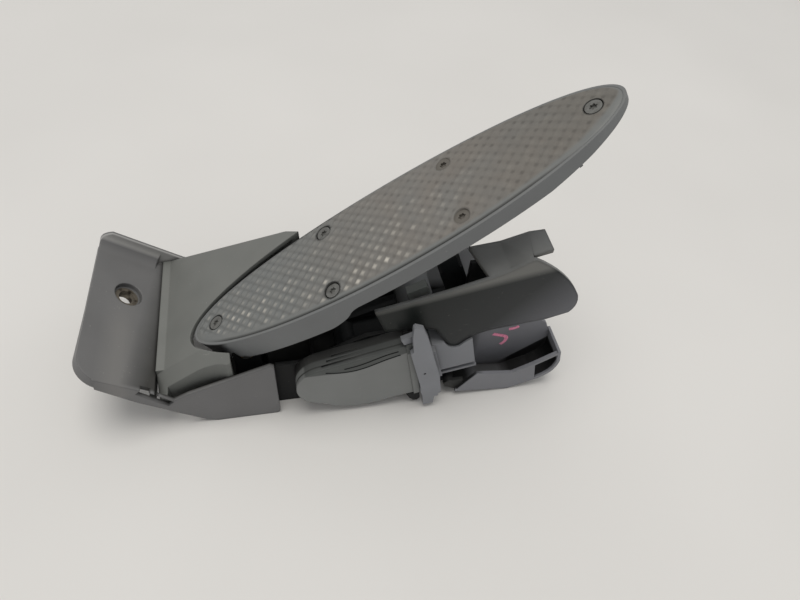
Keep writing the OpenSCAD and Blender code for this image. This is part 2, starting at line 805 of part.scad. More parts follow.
// Lock collar: plate over the neck with a tongue above and a tab below
module lock_collar() {
    y0 = sensor_near_y - 4.6;
    color(grey_collar) difference() {
        union() {
            across(y0, sensor_near_y - flange_rise - seat_gap) polygon([
                [88.1, 58.8], [89.6, 60.6], [88.1, 72.5], [87.9, 81.4], [89, 82.6], [93.4, 80.4],
                [96.6, 72], [107.4, 33.4], [110.2, 15.6], [106.4, 13.6], [106.4, 4.4], [100.2, 3.6],
                [99.2, 13.4], [97.6, 17.4], [97, 23.4]
            ]);
            across(y0, sensor_back_y - 1) polygon([[99, 13.8], [108.6, 14.6], [108.8, 12.2], [99.2, 11]]);
        }
        rod_y(98, 38, 1.6, y0 - 1, y0 + 0.8);
    }
}

module latch_plate() {
    color(grey_collar) across(sensor_near_y, sensor_near_y + 3) polygon([
        [83, 66.6], [89.8, 69.8], [91, 63.4], [85, 62.1]
    ]);
}

module connector_shroud() {
    near = -26;
    far = -12.6;
    color(grey_collar) difference() {
        union() {
            across(near, far) polygon([[102.7, 52], [126, 55.4], [131.7, 30], [109.4, 24.6]]);
            across(near, far) polygon([[110.4, 21.6], [133, 26.8], [133.2, 25.4], [110.6, 20.2]]);
            across(-24, far) polygon([[110.4, 20.6], [114, 21.4], [113.4, 27], [109.4, 26]]);
            across(sensor_near_y + 0.4, far) polygon([[95.8, 50], [104, 51.6], [111, 25.5], [100.6, 24.4]]);
        }
        across(near + 1.8, far - 1.8) polygon([[113, 50.6], [140, 56.6], [146, 36], [117.4, 28.4]]);
        across(near - 6, shield_near_y + shield_wall + seat_gap)
            for (shift = [-1, 1]) translate([shift * seat_gap, -seat_gap]) polygon(shield_wall_points());
    }
}

module contact_pins() {
    color(brass) for (i = [0 : 2], j = [0 : 1])
        translate([104, -21.6 + 4 * j, 34 + 6 * i]) rotate([0, -tilt, 0]) cube([16, 0.8, 0.8]);
}

// Block that keeps the push rod on line
module guide_block() {
    color(grey_block) across(-14, -9) polygon([[88.2, 84.6], [98.6, 89.6], [101, 83.9], [90.2, 79.1]]);
}

heel_plate();
heel_block();
floor_sleeve();
base_frame();
upper_bracket();
cover_shield();
pedal_shell();
tread_pad();
pad_screws();
hinge_pin();
hinge_bushes();
push_rod();
rod_pin();
lever();
lever_shaft();
lever_bushes();
outer_spring();
inner_spring();
spring_seat();
magnet_rotor();
sensor_cover();
circuit_board();
neck_seal();
lock_collar();
latch_plate();
connector_shroud();
contact_pins();
guide_block();
upper_sleeves();
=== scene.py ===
"""An accelerator pedal as it left the car: dusty moulded nylon, a studded tread and dulled screws.

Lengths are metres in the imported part's own frame. MM turns a size in millimetres to metres.
"""

import math

import bmesh
import bpy
from mathutils import Matrix, Vector


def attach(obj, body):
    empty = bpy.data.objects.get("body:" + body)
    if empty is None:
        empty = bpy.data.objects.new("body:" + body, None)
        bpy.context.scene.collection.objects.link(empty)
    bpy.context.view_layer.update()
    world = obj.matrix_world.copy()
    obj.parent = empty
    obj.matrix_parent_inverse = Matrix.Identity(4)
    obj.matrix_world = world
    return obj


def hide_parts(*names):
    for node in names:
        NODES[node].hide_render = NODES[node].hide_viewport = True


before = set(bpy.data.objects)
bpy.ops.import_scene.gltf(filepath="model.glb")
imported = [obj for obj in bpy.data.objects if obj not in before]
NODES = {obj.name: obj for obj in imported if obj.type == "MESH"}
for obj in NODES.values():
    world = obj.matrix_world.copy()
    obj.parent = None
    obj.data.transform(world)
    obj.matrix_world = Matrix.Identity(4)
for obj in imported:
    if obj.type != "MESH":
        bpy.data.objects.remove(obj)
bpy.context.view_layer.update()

MM = 0.001

# The pedal's own frame: along its face, across it, and out of it, from the hinge
PAD_SLOPE = math.radians(34.5)
HINGE = Vector((0, 0, 45.8)) * MM
PAD_ALONG = Vector((math.cos(PAD_SLOPE), 0, math.sin(PAD_SLOPE)))
PAD_OUT = Vector((-math.sin(PAD_SLOPE), 0, math.cos(PAD_SLOPE)))


def on_pad(along, across, out):
    """Point given along, across and out of the pedal's face, in metres."""
    return HINGE + PAD_ALONG * along + Vector((0, across, 0)) + PAD_OUT * out


def smooth(x, low, high):
    """0 below low, 1 above high and an even curve between."""
    t = min(max((x - low) / (high - low), 0), 1)
    return t * t * (3 - 2 * t)


def linear(hex_colour):
    """sRGB hex, such as #6c6e6a, as linear red, green, blue and alpha."""
    channels = [int(hex_colour[i:i + 2], 16) / 255 for i in (1, 3, 5)]
    return [c / 12.92 if c <= 0.04045 else ((c + 0.055) / 1.055) ** 2.4 for c in channels] + [1.0]


def shade(colour, factor):
    """Linear colour made lighter or darker."""
    return [c * factor for c in colour[:3]] + [1.0]


# Materials

def add(tree, kind, inputs=(), **settings):
    """Adds one node. inputs maps a socket's name or number to a value, or to the socket it is linked from."""
    made = tree.nodes.new(kind)
    for name, value in settings.items():
        setattr(made, name, value)
    for name, value in dict(inputs).items():
        if isinstance(value, bpy.types.NodeSocket):
            tree.links.new(value, made.inputs[name])
        else:
            made.inputs[name].default_value = value
    return made


def new_material(name, **values):
    """An empty material: (material, tree, the object's coordinates, surface shader with the values set)."""
    made = bpy.data.materials.new(name)
    made.use_nodes = True
    tree = made.node_tree
    tree.nodes.clear()
    place = add(tree, "ShaderNodeTexCoord").outputs["Object"]
    inputs = {key.replace("_", " "): value for key, value in values.items()}
    shader = add(tree, "ShaderNodeBsdfPrincipled", inputs)
    add(tree, "ShaderNodeOutputMaterial", {"Surface": shader.outputs[0]})
    return made, tree, place, shader


def patches(tree, place, size_mm, low, high, detail=2.0, distortion=0.0, least=0.0, most=1.0):
    """Soft patches about size_mm across: least where their noise is under low, most where it is over high."""
    spots = add(tree, "ShaderNodeTexNoise", {
        "Vector": place, "Scale": 1 / (size_mm * MM), "Detail": detail, "Distortion": distortion})
    return add(tree, "ShaderNodeMapRange", {
        "Value": spots.outputs["Fac"], "From Min": low, "From Max": high, "To Min": least, "To Max": most,
    }).outputs[0]


def fade(tree, place, direction, start_mm, end_mm, least=0.0, most=1.0):
    """Change from least to most, between two distances along a direction."""
    reach = add(tree, "ShaderNodeVectorMath", {0: place, 1: direction}, operation="DOT_PRODUCT")
    return add(tree, "ShaderNodeMapRange", {
        "Value": reach.outputs["Value"], "From Min": start_mm * MM, "From Max": end_mm * MM,
        "To Min": least, "To Max": most,
    }).outputs[0]


def lay_over(tree, base, colour, *amounts):
    """Lays a linear colour over the base colour, as strongly as all the amounts multiplied."""
    amount = amounts[0]
    for other in amounts[1:]:
        amount = add(tree, "ShaderNodeMath", {0: amount, 1: other}, operation="MULTIPLY").outputs[0]
    # Sockets 0, 6 and 7 are the colour mix's factor and its two colours
    return add(tree, "ShaderNodeMix", {0: amount, 6: base, 7: colour}, data_type="RGBA").outputs[2]


def facing_up(tree, low, high):
    """1 on faces that look up, 0 on walls and undersides. Dust settles there, and on the shield a painted
    sheen lies there too.
    """
    normal = add(tree, "ShaderNodeNewGeometry").outputs["Normal"]
    height = add(tree, "ShaderNodeSeparateXYZ", {0: normal}).outputs[2]
    return add(tree, "ShaderNodeMapRange", {"Value": height, "From Min": low, "From Max": high}).outputs[0]


def crease_shade(tree, reach_mm):
    """1 deep in gaps and inner corners, 0 in the open: where painted shade lies."""
    free = add(tree, "ShaderNodeAmbientOcclusion", {"Distance": reach_mm * MM}, samples=6).outputs["AO"]
    return add(tree, "ShaderNodeMapRange", {
        "Value": free, "From Min": 0.1, "From Max": 0.75, "To Min": 1, "To Max": 0,
    }).outputs[0]


def fine_grain(tree, place, shader, size_mm, depth_mm, edge_mm=0.0):
    """Bumps the surface with a fine grain, over edges that look rounded by edge_mm.

    The real grain is too fine to show in the render, so size_mm is as coarse as it needs to show.
    """
    grain = add(tree, "ShaderNodeTexNoise", {"Vector": place, "Scale": 1 / (size_mm * MM), "Detail": 3})
    inputs = {"Height": grain.outputs["Fac"], "Strength": 0.6, "Distance": depth_mm * MM}
    if edge_mm:
        inputs["Normal"] = add(tree, "ShaderNodeBevel", {"Radius": edge_mm * MM}, samples=6).outputs[0]
    tree.links.new(add(tree, "ShaderNodeBump", inputs).outputs[0], shader.inputs["Normal"])


def moulded_nylon(name, colour, dust_and_sheen="#8d8a84", dust_and_sheen_amount=0.2, dust_and_sheen_from=0.05, dust_and_sheen_to=0.85, zones=(),
                  roughness=0.5, gloss=0.4, scuffs=0.2, edge_mm=0.0, crease_shade_mm=8):
    """Glass-filled nylon from a textured mould: matt grey, dusty on top (with a painted sheen on the shield),
    finely scuffed, painted shade in its gaps.

    zones lists (colour, limits). A limit is a direction and the two distances along it, in millimetres,
    between which the colour comes in, and the colour lies where all its limits let it.
    """
    made, tree, place, shader = new_material(name, IOR=1.5, Specular_IOR_Level=gloss)
    mottle = patches(tree, place, 30, 0.3, 0.7, detail=3)
    base = lay_over(tree, shade(linear(colour), 0.92), shade(linear(colour), 1.08), mottle)
    for tone, limits in zones:
        base = lay_over(tree, base, linear(tone), *[fade(tree, place, *limit) for limit in limits])
    drifts = patches(tree, place, 16, 0.3, 0.7, detail=5, distortion=0.3, least=0.6)
    # Dust on faces that look up; on the shield, dust and a painted sheen
    base = lay_over(tree, base, linear(dust_and_sheen), drifts, facing_up(tree, dust_and_sheen_from, dust_and_sheen_to), dust_and_sheen_amount)
    # Scratches run mostly along the part, so their noise is stretched that way
    stretched = add(tree, "ShaderNodeMapping", {
        "Vector": place, "Scale": (0.2, 1.0, 1.0), "Rotation": (0, 0.5, 0.3)}).outputs[0]
    streaks = patches(tree, stretched, 1.1, 0.66, 0.72, detail=3)
    rubbed = patches(tree, place, 14, 0.54, 0.72)
    base = lay_over(tree, base, linear("#bdbbb5"), streaks, rubbed, scuffs)
    specks = patches(tree, place, 1.6, 0.77, 0.80, detail=1)
    base = lay_over(tree, base, linear("#bdbbb5"), specks, scuffs)
    # Painted shade deep in gaps and inner corners
    base = lay_over(tree, base, linear("#0b0b0b"), crease_shade(tree, crease_shade_mm), 0.85)
    tree.links.new(base, shader.inputs["Base Color"])
    uneven = add(tree, "ShaderNodeMapRange", {
        "Value": mottle, "To Min": roughness - 0.04, "To Max": roughness + 0.06})
    tree.links.new(uneven.outputs[0], shader.inputs["Roughness"])
    fine_grain(tree, place, shader, 0.45, 0.05, edge_mm)
    return made


def plated_steel(name, colour="#a3a3a1", roughness=0.36, tarnish="#6f6b62", metal=0.9):
    """Zinc-plated steel gone dull: a soft grey metal with brownish patches."""
    made, tree, place, shader = new_material(name, Metallic=metal)
    dulled = patches(tree, place, 3.5, 0.45, 0.68, detail=5)
    tree.links.new(lay_over(tree, linear(colour), linear(tarnish), dulled), shader.inputs["Base Color"])
    rougher = add(tree, "ShaderNodeMapRange", {
        "Value": dulled, "To Min": roughness, "To Max": roughness + 0.2})
    tree.links.new(rougher.outputs[0], shader.inputs["Roughness"])
    fine_grain(tree, place, shader, 0.25, 0.02)
    return made


def turned_brass(name):
    """Turned brass gone dull: warm yellow metal, browned in patches."""
    return plated_steel(name, colour="#b79b5c", roughness=0.32, tarnish="#7d6a42")


def soft_rubber(name, colour="#1d1e1f"):
    """Moulded rubber: near black, matt, with a grey bloom."""
    made, tree, place, shader = new_material(name, Roughness=0.72, IOR=1.52)
    bloom = patches(tree, place, 6, 0.45, 0.75, detail=4, most=0.2)
    tree.links.new(lay_over(tree, linear(colour), linear("#55544f"), bloom), shader.inputs["Base Color"])
    return made


def board_lacquer(name):
    """Circuit board under green lacquer: smooth and slightly glossy, with faint tracks."""
    made, tree, place, shader = new_material(name, Roughness=0.3)
    tracks = add(tree, "ShaderNodeTexWave", {"Vector": place, "Scale": 1 / (60 * MM), "Distortion": 1.5})
    copper = add(tree, "ShaderNodeMapRange", {
        "Value": tracks.outputs["Fac"], "From Min": 0.6, "From Max": 0.7, "To Max": 0.4}).outputs[0]
    tree.links.new(lay_over(tree, linear("#2a5a3e"), linear("#4c7c58"), copper), shader.inputs["Base Color"])
    return made


def driven_screw(name):
    """Blackened screw heads, rubbed back to grey. The upper pair is caked with road dirt like the tread."""
    made, tree, place, shader = new_material(name, IOR=1.5, Metallic=0.35, Roughness=0.55)
    rubbed = patches(tree, place, 2.5, 0.4, 0.7, detail=4)
    base = lay_over(tree, linear("#747471"), linear("#62615e"), rubbed)
    caked = [fade(tree, place, X, 90, 96), fade(tree, place, X, 150, 144), 0.9]
    base = lay_over(tree, base, linear("#6d6861"), *caked)
    tree.links.new(base, shader.inputs["Base Color"])
    fine_grain(tree, place, shader, 0.4, 0.04)
    return made


def worn_tread(name):
    """Moulded tread plate: grey nylon, browned by dirt up the pedal, studs rubbed pale by the shoe, painted
    shade round the edge.
    """
    made, tree, place, shader = new_material(name, IOR=1.5, Roughness=0.52)
    # What build_tread painted on the mesh
    worn, pit, field, gap_shade = [add(tree, "ShaderNodeAttribute", attribute_name=painted).outputs["Fac"]
                               for painted in ("worn", "pit", "field", "gap_shade")]
    cloudy = patches(tree, place, 20, 0.3, 0.65, detail=4, distortion=0.3, least=0.5)
    up_pedal = fade(tree, place, X, 20, 80)
    base = lay_over(tree, linear("#6f7170"), linear("#75706a"), up_pedal, cloudy, field)
    far_up = fade(tree, place, X, 100, 180, most=0.8)
    base = lay_over(tree, base, linear("#605d57"), far_up, field)
    blotch = patches(tree, place, 6, 0.4, 0.75, detail=5)
    base = lay_over(tree, base, linear("#8d8981"), blotch, 0.16)
    rust = patches(tree, place, 5, 0.62, 0.75, detail=3)
    base = lay_over(tree, base, linear("#755b4b"), rust, far_up, 0.15)
    base = lay_over(tree, base, linear("#3c3935"), pit, fade(tree, place, X, 10, 120, least=0.35, most=0.6))
    base = lay_over(tree, base, linear("#c4bfb5"), worn)
    # Painted shade in the groove along the near edge, at the side wall's foot and in the screw recesses
    base = lay_over(tree, base, linear("#161614"), gap_shade)
    tree.links.new(base, shader.inputs["Base Color"])
    fine_grain(tree, place, shader, 0.5, 0.08)
    return made


# Finishes. The zones' tones are matched to the photograph. Most of them are painted light and painted shade
# that the plain soft light doesn't give, and the blacks are painted shade.

X, Y, Z = (1, 0, 0), (0, 1, 0), (0, 0, 1)
BACK_X, BACK_Y, BACK_Z = (-1, 0, 0), (0, -1, 0), (0, 0, -1)
# Square to the pedal's face: larger further behind the face
UNDER_FACE = (0.566, 0, -0.824)
# Along the shield, towards the tip and down
SHIELD_SLOPE = (0.8, 0, -0.6)
FLANGE = moulded_nylon("flange nylon", "#686869", dust_and_sheen="#7b7974", dust_and_sheen_amount=0.2, roughness=0.44,
                       edge_mm=1.2, crease_shade_mm=3, zones=[
    # Painted sheen: lighter along the middle, more so on the near side
    ("#777675", [(X, -77, -69), (BACK_X, 59, 66), (BACK_Y, -45, -10), (Z, 34, 38)]),
    # Painted shade in the corner beside the heel block
    ("#262625", [((1, -0.13, 0), -63, -51), (Y, -25, -23.5), (BACK_Y, -71.5, -70)]),
    # Painted light along the far lip
    ("#a09f9d", [(Y, 70.5, 71.5), (BACK_Y, -73.6, -73), (Z, 34, 38)])])
BLOCK = moulded_nylon("block nylon", "#6c6e6b", dust_and_sheen="#7c7c78", dust_and_sheen_amount=0.5, roughness=0.55, edge_mm=1.2)
# Near black all over: painted shade on a mid-grey moulding that lies deep under the pedal
FRAME = moulded_nylon("frame nylon", "#1d1e1f", dust_and_sheen="#5a5a58", dust_and_sheen_amount=0.3, gloss=0.15, scuffs=0.1,
                      edge_mm=0.8, crease_shade_mm=2, zones=[
    # Painted light on the inner faces of the walls, high up at the tip end
    ("#b4b6b8", [(X, 84, 96), (Z, 35, 45), (BACK_Y, -31.4, -30.8)])])
BRACKET = moulded_nylon("bracket nylon", "#7b7c81", dust_and_sheen="#7a7a79", dust_and_sheen_amount=0.06, scuffs=0.1, edge_mm=0.8,
                        crease_shade_mm=5, zones=[
    # Painted shade: grey on the floor, black in the tip end, and dark beside the sensor's neck
    ("#5f5f60", [(BACK_Z, -8, -5), (Y, -27.9, -27.5), (X, 134, 140)]),
    ("#0b0b0c", [((0.786, 0, -1), 116.0, 117.2), (Y, -28.9, -28.5), (X, 154, 161)]),
    ("#161717", [(BACK_X, -138, -131), (Y, -29.7, -29.4)])])
# Black plastic. The grey on its faces that look up is dust and a painted sheen
SHIELD = moulded_nylon("shield nylon", "#1f2221", dust_and_sheen="#7d7e7d", dust_and_sheen_amount=1.0, dust_and_sheen_from=0.03,
                       dust_and_sheen_to=0.25, gloss=0.2, scuffs=0.1, roughness=0.4, edge_mm=4.0, crease_shade_mm=4, zones=[
    # Painted reflection, lighter towards the tip, and a painted highlight along the top edge's bend
    ("#2f3132", [(SHIELD_SLOPE, 25, 70)]), ("#65666b", [(SHIELD_SLOPE, 70, 104)]),
    ("#72726f", [((-0.231, 0, 1), 65.5, 71.0)])])
SHELL = moulded_nylon("shell nylon", "#6e7071", dust_and_sheen="#7c7b77", dust_and_sheen_amount=0.3, scuffs=0.12,
                      edge_mm=0.8, zones=[
    # Painted shade in the gap to the heel block: on the far side, and round the low tip
    ("#0b0b0b", [(UNDER_FACE, -55.8, -55.2), (Y, -10, -5), (BACK_X, -70, -50)]),
    ("#0b0b0b", [(UNDER_FACE, -56.4, -55.8), (BACK_X, 8, 12)])])
GUIDE = moulded_nylon("guide nylon", "#8c908d", dust_and_sheen="#949692", dust_and_sheen_amount=0.3, scuffs=0.12, edge_mm=0.5)
ROD = moulded_nylon("rod nylon", "#1c1e1f", dust_and_sheen="#2c2d2d", dust_and_sheen_amount=0.25, gloss=0.25, scuffs=0.05)
SENSOR = moulded_nylon("sensor nylon", "#7a7c7b", dust_and_sheen="#787875", dust_and_sheen_amount=0.3, scuffs=0.15, edge_mm=1.2,
                       crease_shade_mm=4, zones=[
    # Darker on the grooved top; painted shade in the parting line and on the back
    ("#4a4d4c", [((-0.42, 0, 1), 17.4, 18.2), (Z, 41.5, 42.5)]),
    ("#1c1e1e", [(Y, -28.8, -28.4), (BACK_Y, 27.4, 27.8)]), ("#141515", [(Y, -24.5, -23.5)])])
COLLAR = moulded_nylon("collar nylon", "#808287", dust_and_sheen="#8a8a87", dust_and_sheen_amount=0.25, scuffs=0.12, edge_mm=0.6,
                       crease_shade_mm=4)
STEEL = plated_steel("dulled zinc plate")
# Rusty, and darker still as painted shade inside the bolt hole
SLEEVE = plated_steel("rusted sleeve in painted shade", colour="#6f685d", tarnish="#2e271f", roughness=0.5, metal=0.6)
SCREW = driven_screw("rubbed screw heads")
BRASS = turned_brass("dull brass")
RUBBER = soft_rubber("soft rubber")
BOARD = board_lacquer("board lacquer")
TREAD = worn_tread("worn tread nylon")

FINISH = {
    "heel_plate": FLANGE, "heel_block": BLOCK, "floor_sleeve": SLEEVE, "base_frame": FRAME,
    "upper_bracket": BRACKET, "cover_shield": SHIELD, "pedal_shell": SHELL, "tread_pad": TREAD,
    "pad_screws": SCREW, "hinge_pin": STEEL, "hinge_bushes": BRASS, "push_rod": ROD,
    "rod_pin": STEEL, "lever": ROD, "lever_shaft": STEEL, "lever_bushes": BRASS,
    "outer_spring": STEEL, "inner_spring": STEEL, "spring_seat": RUBBER, "magnet_rotor": STEEL,
    "sensor_cover": SENSOR, "circuit_board": BOARD, "neck_seal": RUBBER, "lock_collar": COLLAR,
    "latch_plate": COLLAR, "connector_shroud": COLLAR, "contact_pins": BRASS, "guide_block": GUIDE,
    "upper_sleeves": STEEL,
}
# Edge rounding of the mouldings, in millimetres
ROUNDING = {
    "heel_plate": 0.7, "heel_block": 0.6, "base_frame": 0.3, "upper_bracket": 0.5, "cover_shield": 0.4,
    "pedal_shell": 0.5, "sensor_cover": 0.5, "lock_collar": 0.3, "connector_shroud": 0.4,
    "guide_block": 0.4, "push_rod": 0.5, "lever": 0.4, "pad_screws": 0.25,
}
# Only edges that turn by more than this are rounded
SHARP_EDGE = math.radians(40)


def dress_nodes():
    """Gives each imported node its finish, and rounds the mouldings' sharp edges."""
    for name, finish in FINISH.items():
        obj = NODES[name]
        obj.data.materials.clear()
        obj.data.materials.append(finish)
        if name in ROUNDING:
            edge = obj.modifiers.new("rounded edges", "BEVEL")
            edge.width = ROUNDING[name] * MM
            edge.segments = 2
            edge.limit_method = "ANGLE"
            edge.angle_limit = SHARP_EDGE
            edge.use_clamp_overlap = True
            edge.harden_normals = False


# Studded tread

PAD_LEN = 251.6 * MM
PAD_W = 60.6 * MM
PAD_CENTRE = PAD_LEN / 2 - 19.6 * MM
CROWN_R = 205 * MM
FACE_OUT = 20 * MM
# The tread stands this far inside the shell's edge: by the near groove, and elsewhere
TREAD_INSET = 1.95 * MM
EDGE_INSET = 0.3 * MM
# Studs stand in staggered rows; these are the half pitches and the place of one stud
STUD_ALONG = 3.5 * MM
STUD_ACROSS = 3.27 * MM
FIRST_ALONG = 2.0 * MM
FIRST_ACROSS = 2.27 * MM
STUD_HEIGHT = 0.5 * MM
# Plain border inside the edge, and the width over which the edge rolls down
MARGIN = 2.6 * MM
EDGE_ROLL = 1.1 * MM
SIDE_WALL = 1.2 * MM
# Screw recesses: dirt has closed the gap round the upper pair
SCREW_HOLE = 4.5 * MM
CAKED_HOLE = 4.0 * MM
RECESS_DEPTH = 1.9 * MM
# Places along and across the pedal in millimetres, with the radius of the recess
SCREWS = [(-4, 0, SCREW_HOLE), (70.7, 20.4, SCREW_HOLE), (70.7, -20.4, SCREW_HOLE),
          (144.3, 19, CAKED_HOLE), (144.3, -19, CAKED_HOLE), (217.1, 0, SCREW_HOLE)]
# Where shoes rub most: amount, then centre and spread along and across, in millimetres
RUBBED = [(0.75, 8, 22, -2, 15), (0.8, 92, 24, -20, 8), (0.45, 48, 30, -10, 18), (0.3, 105, 40, -6, 18)]
COLUMNS, ROWS = 470, 112


def chance(i, j, salt):
    """A number from 0 to 1 that is always the same for stud i, j."""
    x = math.sin(i * 127.1 + j * 311.7 + salt * 74.7) * 43758.5453
    return x - math.floor(x)


def stud_at(along, across):
    """Height, pit and wear of the tread at a place on the pedal's face, each from 0 to 1."""
    u = ((along - FIRST_ALONG) / STUD_ALONG + (across - FIRST_ACROSS) / STUD_ACROSS) / 2
    v = ((along - FIRST_ALONG) / STUD_ALONG - (across - FIRST_ACROSS) / STUD_ACROSS) / 2
    i, j = round(u), round(v)
    off_u, off_v = abs(u - i), abs(v - j)
    tip = 1 - smooth(max(off_u, off_v), 0.16, 0.46)
    # Dirt lies in the lines between the studs, deepest where they cross
    lines = smooth(max(off_u, off_v), 0.34, 0.5)
    crossings = smooth(min(off_u, off_v), 0.2, 0.42) * (0.3 + 0.7 * chance(math.floor(u), math.floor(v), 2))
    filled = smooth(along, 50 * MM, 125 * MM)
    pit = (0.4 - 0.35 * filled) * lines + (0.6 + 0.15 * filled) * crossings
    s, y = along / MM, across / MM
    rub = 0.05 + sum(amount * math.exp(-((s - s0) / s_spread) ** 2 - ((y - y0) / y_spread) ** 2)
                     for amount, s0, s_spread, y0, y_spread in RUBBED)
    bright = (0.1 + 0.9 * chance(i, j, 1) ** 2) * rub * 1.25
    # The rubbed patch on a stud's top lies towards the shoe's heel
    core = 1 - smooth(max(abs(u - i + 0.06), abs(v - j + 0.1)), 0.10, 0.34)
    return tip, pit, min(bright, 1) * core


def groove_at(along):
    """1 where the near edge of the tread stands off the shell's rim, 0 at both ends."""
    return smooth(along, -14 * MM, 6 * MM) * (1 - smooth(along, 175 * MM, 225 * MM))


def build_tread():
    """Crowned oval plate with rows of small lozenge studs, open at the screw recesses."""
    half_len = PAD_LEN / 2 - EDGE_INSET
    mesh = bmesh.new()
    paint = {name: mesh.verts.layers.float.new(name) for name in ("worn", "pit", "field", "gap_shade")}
    grid = []
    for c in range(COLUMNS + 1):
        a = -math.cos(math.pi * c / COLUMNS)
        # Even steps along the pedal, closed up towards both round ends
        a = 0.35 * a + 0.65 * (2 * c / COLUMNS - 1) if 0 < c < COLUMNS else a
        along = PAD_CENTRE + a * half_len
        groove = groove_at(along)
        near_half = PAD_W / 2 - EDGE_INSET - (TREAD_INSET - EDGE_INSET) * groove
        far_half = PAD_W / 2 - EDGE_INSET
        line = []
        for r in range(ROWS + 1):
            side = 2 * r / ROWS - 1
            half_w = near_half if side < 0 else far_half
            across = side * half_w * math.sqrt(max(1 - a * a, 0))
            edge = min((1 - math.hypot(a, across / half_w)) * half_w, half_w)
            tip, pit, wear = stud_at(along, across)
            near_screw = min(math.hypot(along - s * MM, across - y * MM) for s, y, _ in SCREWS)
            near = smooth(-across, -2 * MM, 10 * MM)
            margin = MARGIN * (0.25 + 0.75 * near)
            field = smooth(edge, 0.6 * margin, 1.3 * margin)
            relief = field * smooth(near_screw, 4.9 * MM, 5.6 * MM)
            # Road dirt fills the studs' gaps up the pedal
            stands = relief * (1 - 0.65 * smooth(along, 60 * MM, 130 * MM))
            crown = CROWN_R - math.sqrt(CROWN_R ** 2 - across ** 2)
            rolled = (1 - smooth(edge, 0, EDGE_ROLL)) * (0.45 + 0.35 * near * groove) * MM
            out = FACE_OUT - crown - STUD_HEIGHT * (0.5 - (tip - 0.5) * stands) - rolled
            vert = mesh.verts.new(on_pad(along, across, out))
            vert[paint["worn"]] = wear * relief
            vert[paint["pit"]] = pit * relief
            vert[paint["field"]] = field
            # Painted shade in the groove along the near edge
            vert[paint["gap_shade"]] = 0.8 * (1 - smooth(edge, 0.2 * MM, 1.4 * MM)) * near * groove
            line.append(vert)
        grid.append(line)
    for c in range(COLUMNS):
        for r in range(ROWS):
            mesh.faces.new([grid[c][r], grid[c + 1][r], grid[c + 1][r + 1], grid[c][r + 1]])
    # Side wall down to the shell, in painted shade at its foot
    rim_line = [grid[c][0] for c in range(COLUMNS + 1)] + [grid[c][ROWS] for c in range(COLUMNS, -1, -1)]
    foot = []
    for vert in rim_line:
        low = mesh.verts.new(vert.co - PAD_OUT * SIDE_WALL)
        low[paint["gap_shade"]] = 0.9
        foot.append(low)
    for k, vert in enumerate(rim_line):
        n = (k + 1) % len(rim_line)
        mesh.faces.new([rim_line[n], vert, foot[k], foot[n]])
    bmesh.ops.remove_doubles(mesh, verts=mesh.verts, dist=0.002 * MM)
    for s, y, radius in SCREWS:
        cut_recess(mesh, paint, s * MM, y * MM, radius)
    bmesh.ops.recalc_face_normals(mesh, faces=mesh.faces)
    data = bpy.data.meshes.new("tread plate")
    mesh.to_mesh(data)
    mesh.free()
    data.shade_smooth()
    data.materials.append(TREAD)
    obj = bpy.data.objects.new("tread_plate", data)
    bpy.context.collection.objects.link(obj)
    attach(obj, "pedal")
    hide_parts("tread_pad")


def cut_recess(mesh, paint, along, across, radius):
    """Opens a round screw recess, pulls its edge onto a true circle and adds a wall below it in painted
    shade.
    """
    centre = on_pad(along, across, 0)
    # How much painted shade the recess wall gets: full in an open recess, a quarter where dirt fills it
    recess_shade = 1 if radius == SCREW_HOLE else 0.25

    def place(vert):
        d = vert.co - centre
        return d.dot(PAD_ALONG), d.y

    inside = [v for v in mesh.verts if math.hypot(*place(v)) < radius]
    bmesh.ops.delete(mesh, geom=inside, context="VERTS")
    edge_loop = [e for e in mesh.edges if e.is_boundary
                 and all(math.hypot(*place(v)) < radius + 1.2 * MM for v in e.verts)]
    ring = {v for e in edge_loop for v in e.verts}
    for v in ring:
        x, y = place(v)
        v.co += (PAD_ALONG * x + Vector((0, y, 0))) * (radius / math.hypot(x, y) - 1)
        v[paint["gap_shade"]] = 0.9 * recess_shade
    made = bmesh.ops.extrude_edge_only(mesh, edges=edge_loop)
    for v in (g for g in made["geom"] if isinstance(g, bmesh.types.BMVert)):
        v.co -= PAD_OUT * RECESS_DEPTH
        v[paint["gap_shade"]] = recess_shade


# Flat ribbons: a loose pencil stroke on the bracket's back wall, and painted shade along two grooves on the
# sensor's lid

# Places of both faces, and widths, in millimetres
BRACKET_WALL_Y = -12.24
PENCIL_WIDTH = 2.4
LID_Y = -31.06
GROOVE_WIDTH = 1.05
# Points are x and z, in millimetres
PENCIL_STROKES = [[(145.9, 36.4), (150, 34.6), (155.6, 32.5), (155.4, 27.4), (152.7, 24.7)],
                  [(155.4, 39.7), (159.2, 40), (161.4, 41.6)]]
LID_GROOVES = [[(52.4, 45.4), (59.1, 47), (64.6, 49.1), (70.5, 52.1), (76.4, 54.8), (82.3, 56.6)],
               [(42, 43.8), (48.8, 42.2), (58, 42.5), (64.8, 44.7), (70.7, 47.6), (75.8, 50.2), (83.7, 53.2)]]


def wax_pencil(name):
    """Pink wax pencil: soft pink, matt and slightly broken up."""
    made, tree, place, shader = new_material(name, Roughness=0.6)
    waxy = patches(tree, place, 1.2, 0.35, 0.6, detail=3)
    tree.links.new(lay_over(tree, linear("#dc7a9c"), linear("#f29cb8"), waxy), shader.inputs["Base Color"])
    return made


def shaded_groove(name):
    """Painted shade of a narrow groove's inside: near black and matt."""
    made, _, _, shader = new_material(name, Roughness=0.8, Specular_IOR_Level=0.2)
    shader.inputs["Base Color"].default_value = linear("#1b1d1d")
    return made


def rounded(points):
    """The same stroke with its corners cut twice."""
    for _ in range(2):
        cut = [(p * 0.75 + q * 0.25, p * 0.25 + q * 0.75) for p, q in zip(points, points[1:])]
        points = [points[0]] + [p for pair in cut for p in pair] + [points[-1]]
    return points


